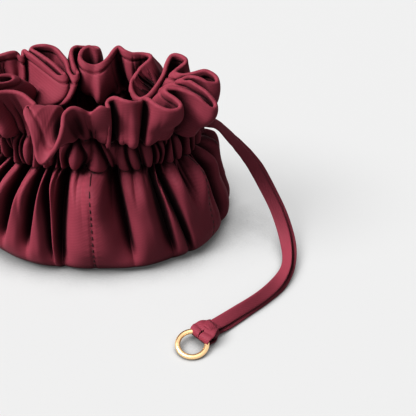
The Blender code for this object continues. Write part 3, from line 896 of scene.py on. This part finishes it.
class POUCH_OT_strap(bpy.types.Operator):
    """Build the doubled tape of the strap and the hitch that ties it to the ring"""
    bl_idname = "pouch.strap"
    bl_label = "Strap and Hitch"

    def execute(self, context):
        hitch = self.hitch()
        centre, wide, thick, share = strap_frames(170)
        width, thickness = sizes().strap_width / MM, sizes().strap_thickness / MM
        section = tape_section(width, thickness)
        rng = np.random.default_rng(SEED + 1)
        for name, side in (("upper", 1), ("lower", -1)):
            phase = rng.uniform(0, 6.28, 3)
            part = 0.80 - 0.55 * np.exp(-((share - 0.63) / 0.10) ** 2)
            part[share > 0.9] *= np.interp(share[share > 0.9], (0.9, 1.0), (1.0, 0.6))
            path = centre + wide * (side * STRAND_SPACING / 2 * part)[:, None]
            apart = 0.62 + 0.25 * np.sin(np.pi * share) ** 2
            path = path - thick * (side * apart)[:, None]
            sway = np.radians(7 * np.sin(9 * share + phase[1]) - side * 5)
            roll = wide * np.cos(sway)[:, None] + thick * np.sin(sway)[:, None]
            drop = width / 2 * np.abs(roll[:, 2]) + thickness / 2 * np.abs(thick[:, 2]) + 0.12
            path[:, 2] = np.maximum(path[:, 2], drop)
            piece = sweep("strap_tape_" + name, path, roll, section)
            dress(piece, strap_tape())
            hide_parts("strap_strand_" + name)
        return {"FINISHED"}

    def hitch(self):
        """Two turns of tape round the wire, held by the loop that crosses over them."""
        work = bmesh.new()
        parts = []
        turn = np.radians(np.linspace(70, 290, 12))
        for side in (-1, 1):
            nose = np.stack((1.9 * np.cos(turn) - 0.1, side * (2.35 + 0.35 * np.sin(turn)),
                             1.8 * np.sin(turn)), 1)
            first = np.array(((6.4, side * 0.7, 0.9), (4.4, side * 0.9, 1.8),
                              (2.3, side * 2.0, 2.3)))
            last = first[::-1] * np.array((1, 1, -0.9))
            path = spline(np.concatenate((first, nose, last)), 6, False)
            path = at_lengths(path, np.linspace(0, lengths_along(path)[-1], 64))
            lean = np.linspace(0.42, -0.30, len(path)) * side
            wide = np.stack((lean, np.ones(len(path)), np.zeros(len(path))), 1)
            parts.append(sweep("turn", path, wide, tape_section(4.9, 1.0)))
        around = np.linspace(0, 2 * np.pi, 72, endpoint=False)
        loop = np.stack((3.3 + 0.5 * np.cos(around) ** 2,
                         3.6 * np.cos(around), 2.85 * np.sin(around)), 1)
        wide = np.tile((1.0, 0.12, 0.0), (72, 1))
        parts.append(sweep("crossing", loop, wide, tape_section(3.2, 1.1), closed=True))
        for part in parts:
            work.from_mesh(part.data)
            bpy.data.objects.remove(part)
        mesh = bpy.data.meshes.new("hitch")
        work.to_mesh(mesh)
        work.free()
        mesh.transform(Matrix.Translation(Vector(HITCH_POINT) * MM)
                       @ Matrix.Rotation(math.radians(HITCH_HEADING), 4, "Z"))
        mesh.shade_smooth()
        piece = add_object("hitch_of_tape", mesh)
        for corner in mesh.vertices:
            corner.co.z = max(corner.co.z, 0.15 * MM)
        dress(piece, strap_tape())
        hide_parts("strap_hitch")
        return piece


class POUCH_OT_stitches(bpy.types.Operator):
    """Sew the two rows of the channel and the six seams"""
    bl_idname = "pouch.stitches"
    bl_label = "Stitches"

    def execute(self, context):
        cloth = Cloth()
        pitch = sizes().stitch_pitch / MM
        turns = np.linspace(0, 2 * np.pi, 4000)
        ends = []
        for row, lift in ((LOWER_ROW, -0.15), (UPPER_ROW, 0.10)):
            line = cloth.body(turns, np.array((row + lift,)))[0]
            along = lengths_along(line)
            where = np.arange(0, along[-1] - pitch, pitch)
            start = np.interp(where, along, turns)
            end = np.interp(where + pitch * 0.6, along, turns)
            for one, two in zip(start, end):
                dense = cloth.body(np.linspace(one, two, 5), np.array((row + lift,)))[0]
                ends.append((dense, outward(np.linspace(one, two, 5))))
        for k in range(len(PANELS)):
            lean = math.radians(FIRST_SEAM + 60 * k)
            for low in np.arange(3.0, LOWER_ROW - 2, pitch):
                height = np.linspace(low, low + pitch * 0.62, 5)
                line = cloth.body(np.array((lean,)), height)[:, 0]
                ends.append((line, np.tile(outward(np.array((lean,))), (5, 1))))
        self.threads(ends)
        return {"FINISHED"}

    def threads(self, lines):
        """Every stitch is a short arched thread with both ends in the cloth."""
        radius = sizes().thread_radius / MM
        arch = np.array((-0.25, 0.16, 0.24, 0.16, -0.25))
        points = []
        sides = 7
        for line, away in lines:
            away = np.concatenate((away, np.zeros((5, 1))), 1)
            path = line + away * arch[:, None]
            along = unit(np.gradient(path, axis=0))
            one = unit(np.cross(along, away))
            two = np.cross(one, along)
            turn = np.linspace(0, 2 * np.pi, sides, endpoint=False)
            ring = (path[:, None] + one[:, None] * (np.cos(turn) * radius)[None, :, None]
                    + two[:, None] * (np.sin(turn) * radius * 0.8)[None, :, None])
            points.append(ring.reshape(-1, 3))
        index = np.arange(len(lines) * 5 * sides).reshape(-1, 5, sides)
        beside = np.roll(index, -1, axis=2)
        faces = np.stack((index[:, :-1], beside[:, :-1], beside[:, 1:], index[:, 1:]), -1)
        faces = faces.reshape(-1, 4).tolist()
        mesh = bpy.data.meshes.new("stitches")
        mesh.from_pydata((np.concatenate(points) * MM).tolist(), [], faces)
        mesh.shade_smooth()
        piece = add_object("sewn_stitches", mesh)
        dress(piece, thread())


class POUCH_OT_stage(bpy.types.Operator):
    """Set the pale ground, the soft light and the camera"""
    bl_idname = "pouch.stage"
    bl_label = "Stage"

    def execute(self, context):
        bpy.ops.mesh.primitive_plane_add(size=6)
        floor = context.active_object
        floor.name = "pale_floor"
        material, tree, shader = new_material("pale_floor", colours().floor, 0.9)
        shader.inputs["Specular IOR Level"].default_value = 0.1
        shader.inputs["Emission Color"].default_value = (1, 1, 1, 1)
        tone = add_node(tree, "ShaderNodeMix", data_type="RGBA")
        tone.inputs["A"].default_value = (FLOOR_BOUNCE, FLOOR_BOUNCE, FLOOR_BOUNCE, 1)
        tone.inputs["B"].default_value = (*colours().floor, 1)
        seen = tree.nodes.new("ShaderNodeLightPath")
        direct = maths(tree, "MAXIMUM", seen.outputs["Is Camera Ray"],
                       seen.outputs["Is Glossy Ray"])
        # Painted contact shadow: ambient occlusion cuts the ground's camera-only glow down near
        # the pouch, darkening the ground next to it.
        contact_shadow_occlusion = add_node(tree, "ShaderNodeAmbientOcclusion", samples=8, Distance=0.022)
        clear = remap(tree, contact_shadow_occlusion.outputs["AO"], 0.36, 0.84, 0.08, 0.66, "SMOOTHSTEP")
        tree.links.new(direct, tone.inputs["Factor"])
        tree.links.new(tone.outputs["Result"], shader.inputs["Base Color"])
        tree.links.new(maths(tree, "MULTIPLY", direct, clear),
                       shader.inputs["Emission Strength"])
        floor.data.materials.append(material)
        world = bpy.data.worlds.new("studio")
        context.scene.world = world
        world.use_nodes = True
        back = world.node_tree.nodes["Background"]
        back.inputs["Color"].default_value = (1, 1, 1, 1)
        seen = world.node_tree.nodes.new("ShaderNodeLightPath")
        level = maths(world.node_tree, "MULTIPLY_ADD", seen.outputs["Is Glossy Ray"],
                      SKY_IN_GLOSS, SKY)
        world.node_tree.links.new(level, back.inputs["Strength"])
        for name, energy, angle, source in LIGHTS:
            lamp = bpy.data.lights.new(name, "SUN")
            lamp.energy = energy
            lamp.angle = math.radians(angle)
            holder = add_object(name, lamp)
            holder.rotation_euler = Vector(source).to_track_quat("Z", "Y").to_euler()
        lens = bpy.data.cameras.new("camera")
        lens.lens = CAMERA_LENS
        lens.clip_start = 0.01
        camera = add_object("camera", lens)
        way = Vector((0, -math.cos(CAMERA_ELEVATION), math.sin(CAMERA_ELEVATION)))
        camera.location = Vector(CAMERA_AIM) + way * CAMERA_REACH
        camera.rotation_euler = (math.pi / 2 - CAMERA_ELEVATION, 0, 0)
        context.scene.camera = camera
        context.scene.view_settings.view_transform = "Standard"
        context.scene.view_settings.gamma = 0.80
        return {"FINISHED"}


class POUCH_PT_panel(bpy.types.Panel):
    """Sizes, colours and parts of the pouch"""
    bl_label = "Drawstring Pouch"
    bl_idname = "POUCH_PT_panel"
    bl_space_type = "VIEW_3D"
    bl_region_type = "UI"
    bl_category = "Pouch"

    def draw(self, context):
        for settings in (context.scene.pouch_sizes, context.scene.pouch_colours):
            for name in settings.__annotations__:
                self.layout.prop(settings, name)
        for part in PARTS:
            self.layout.operator(part.bl_idname)


PARTS = (POUCH_OT_stage, POUCH_OT_ring, POUCH_OT_strap, POUCH_OT_cloth, POUCH_OT_lining,
         POUCH_OT_stitches)
CLASSES = (PouchColours, PouchSizes) + PARTS + (POUCH_PT_panel,)


def register():
    for item in CLASSES:
        bpy.utils.register_class(item)
    bpy.types.Scene.pouch_sizes = bpy.props.PointerProperty(type=PouchSizes)
    bpy.types.Scene.pouch_colours = bpy.props.PointerProperty(type=PouchColours)


def unregister():
    del bpy.types.Scene.pouch_colours
    del bpy.types.Scene.pouch_sizes
    for item in reversed(CLASSES):
        bpy.utils.unregister_class(item)


def main():
    register()
    for part in PARTS:
        category, name = part.bl_idname.split(".")
        getattr(getattr(bpy.ops, category), name)()


if __name__ == "__main__":
    main()
